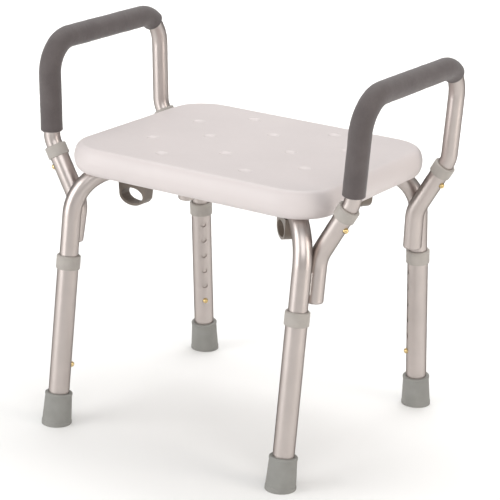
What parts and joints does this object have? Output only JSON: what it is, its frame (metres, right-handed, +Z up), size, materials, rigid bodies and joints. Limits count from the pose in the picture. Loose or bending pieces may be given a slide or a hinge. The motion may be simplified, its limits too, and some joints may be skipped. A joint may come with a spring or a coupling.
{
  "type": "shower stool",
  "caption": "Height-adjustable shower stool: rounded plastic seat on crossed tube legs with rubber feet and lift-off padded arms.",
  "frame": {"origin": "on the floor, at the middle of the four feet", "axes": "+Z up, -Y towards the front of the stool, +X towards the right-hand arm seen from the front"},
  "size_m": [0.516, 0.4114, 0.5329],
  "materials": {
    "seat_plastic": "satin",
    "frame_aluminium": "satin anodised",
    "socket_aluminium": "satin anodised",
    "leg_aluminium": "satin anodised",
    "arm_aluminium": "satin anodised",
    "weld_aluminium": "rippled weld bead",
    "collar_plastic": "matte",
    "foot_rubber": "matte",
    "grip_foam": "fine closed-cell foam",
    "button_brass": "polished",
    "loop_plastic": "satin",
    "saddle_plastic": "matte",
    "brass_insert": "turned",
    "clip_steel": "spring steel",
    "washer_steel": "zinc plated",
    "stud_steel": "zinc plated"
  },
  "bodies": {
    "frame": {"seat_panel": "seat_plastic", "seat_inserts": "brass_insert", "frame_tube_long": "frame_aluminium", "frame_tube_front": "frame_aluminium", "frame_tube_rear": "frame_aluminium", "cross_weld": "weld_aluminium", "arm_socket_front_left": "socket_aluminium", "arm_socket_front_right": "socket_aluminium", "arm_socket_rear_left": "socket_aluminium", "arm_socket_rear_right": "socket_aluminium", "socket_welds": "weld_aluminium", "socket_collar_front_left": "collar_plastic", "socket_collar_front_right": "collar_plastic", "socket_collar_rear_left": "collar_plastic", "socket_collar_rear_right": "collar_plastic", "tube_saddles": "saddle_plastic", "leg_clips": "clip_steel"},
    "lower_leg_front_left": {"leg_tube_front_left": "leg_aluminium", "leg_collar_front_left": "collar_plastic", "leg_foot_front_left": "foot_rubber", "foot_washer_front_left": "washer_steel"},
    "leg_snap_front_left": {"leg_button_front_left": "button_brass"},
    "arm_snap_front_left": {"arm_button_front_left": "button_brass"},
    "hand_screw_front_left": {"screw_loop_front_left": "loop_plastic", "screw_stud_front_left": "stud_steel"},
    "lower_leg_front_right": {"leg_tube_front_right": "leg_aluminium", "leg_collar_front_right": "collar_plastic", "leg_foot_front_right": "foot_rubber", "foot_washer_front_right": "washer_steel"},
    "leg_snap_front_right": {"leg_button_front_right": "button_brass"},
    "arm_snap_front_right": {"arm_button_front_right": "button_brass"},
    "hand_screw_front_right": {"screw_loop_front_right": "loop_plastic", "screw_stud_front_right": "stud_steel"},
    "lower_leg_rear_left": {"leg_tube_rear_left": "leg_aluminium", "leg_collar_rear_left": "collar_plastic", "leg_foot_rear_left": "foot_rubber", "foot_washer_rear_left": "washer_steel"},
    "leg_snap_rear_left": {"leg_button_rear_left": "button_brass"},
    "arm_snap_rear_left": {"arm_button_rear_left": "button_brass"},
    "hand_screw_rear_left": {"screw_loop_rear_left": "loop_plastic", "screw_stud_rear_left": "stud_steel"},
    "lower_leg_rear_right": {"leg_tube_rear_right": "leg_aluminium", "leg_collar_rear_right": "collar_plastic", "leg_foot_rear_right": "foot_rubber", "foot_washer_rear_right": "washer_steel"},
    "leg_snap_rear_right": {"leg_button_rear_right": "button_brass"},
    "arm_snap_rear_right": {"arm_button_rear_right": "button_brass"},
    "hand_screw_rear_right": {"screw_loop_rear_right": "loop_plastic", "screw_stud_rear_right": "stud_steel"},
    "arm_left": {"arm_tube_left": "arm_aluminium", "arm_grip_left": "grip_foam", "arm_clips_left": "clip_steel"},
    "arm_right": {"arm_tube_right": "arm_aluminium", "arm_grip_right": "grip_foam", "arm_clips_right": "clip_steel"}
  },
  "joints": [
    {"name": "leg_extend_front_left", "type": "slide", "parent": "frame", "child": "lower_leg_front_left", "axis": [0, -0.0989, -0.9951], "range_m": [0, 0.1225]},
    {"name": "leg_button_press_front_left", "type": "slide", "parent": "lower_leg_front_left", "child": "leg_snap_front_left", "axis": [-0.7071, -0.7036, 0.0699], "range_m": [0, 0.0035], "stiffness_N_per_m": 1500, "springref_m": -0.002},
    {"name": "arm_button_press_front_left", "type": "slide", "parent": "frame", "child": "arm_snap_front_left", "axis": [0.8461, 0.225, 0.4832], "range_m": [0, 0.0035], "stiffness_N_per_m": 1500, "springref_m": -0.002},
    {"name": "hand_screw_turn_front_left", "type": "hinge", "parent": "frame", "child": "hand_screw_front_left", "pos_m": [-0.1204, -0.0937, 0.33], "axis": [0, 0, -1], "range_deg": [0, 180]},
    {"name": "leg_extend_front_right", "type": "slide", "parent": "frame", "child": "lower_leg_front_right", "axis": [0, -0.0989, -0.9951], "range_m": [0, 0.1225]},
    {"name": "leg_button_press_front_right", "type": "slide", "parent": "lower_leg_front_right", "child": "leg_snap_front_right", "axis": [0.7071, -0.7036, 0.0699], "range_m": [0, 0.0035], "stiffness_N_per_m": 1500, "springref_m": -0.002},
    {"name": "arm_button_press_front_right", "type": "slide", "parent": "frame", "child": "arm_snap_front_right", "axis": [-0.8461, 0.225, 0.4832], "range_m": [0, 0.0035], "stiffness_N_per_m": 1500, "springref_m": -0.002},
    {"name": "hand_screw_turn_front_right", "type": "hinge", "parent": "frame", "child": "hand_screw_front_right", "pos_m": [0.1204, -0.0937, 0.33], "axis": [0, 0, -1], "range_deg": [0, 180]},
    {"name": "leg_extend_rear_left", "type": "slide", "parent": "frame", "child": "lower_leg_rear_left", "axis": [0, 0.0989, -0.9951], "range_m": [0, 0.1225]},
    {"name": "leg_button_press_rear_left", "type": "slide", "parent": "lower_leg_rear_left", "child": "leg_snap_rear_left", "axis": [-0.7071, 0.7036, 0.0699], "range_m": [0, 0.0035], "stiffness_N_per_m": 1500, "springref_m": -0.002},
    {"name": "arm_button_press_rear_left", "type": "slide", "parent": "frame", "child": "arm_snap_rear_left", "axis": [0.8461, 0.225, 0.4832], "range_m": [0, 0.0035], "stiffness_N_per_m": 1500, "springref_m": -0.002},
    {"name": "hand_screw_turn_rear_left", "type": "hinge", "parent": "frame", "child": "hand_screw_rear_left", "pos_m": [-0.1204, 0.0937, 0.33], "axis": [0, 0, -1], "range_deg": [0, 180]},
    {"name": "leg_extend_rear_right", "type": "slide", "parent": "frame", "child": "lower_leg_rear_right", "axis": [0, 0.0989, -0.9951], "range_m": [0, 0.1225]},
    {"name": "leg_button_press_rear_right", "type": "slide", "parent": "lower_leg_rear_right", "child": "leg_snap_rear_right", "axis": [0.7071, 0.7036, 0.0699], "range_m": [0, 0.0035], "stiffness_N_per_m": 1500, "springref_m": -0.002},
    {"name": "arm_button_press_rear_right", "type": "slide", "parent": "frame", "child": "arm_snap_rear_right", "axis": [-0.8461, 0.225, 0.4832], "range_m": [0, 0.0035], "stiffness_N_per_m": 1500, "springref_m": -0.002},
    {"name": "hand_screw_turn_rear_right", "type": "hinge", "parent": "frame", "child": "hand_screw_rear_right", "pos_m": [0.1204, 0.0937, 0.33], "axis": [0, 0, -1], "range_deg": [0, 180]},
    {"name": "arm_lift_left", "type": "slide", "parent": "frame", "child": "arm_left", "axis": [-0.4959, 0, 0.8684], "range_m": [0, 0.08]},
    {"name": "arm_lift_right", "type": "slide", "parent": "frame", "child": "arm_right", "axis": [0.4959, 0, 0.8684], "range_m": [0, 0.08]}
  ]
}
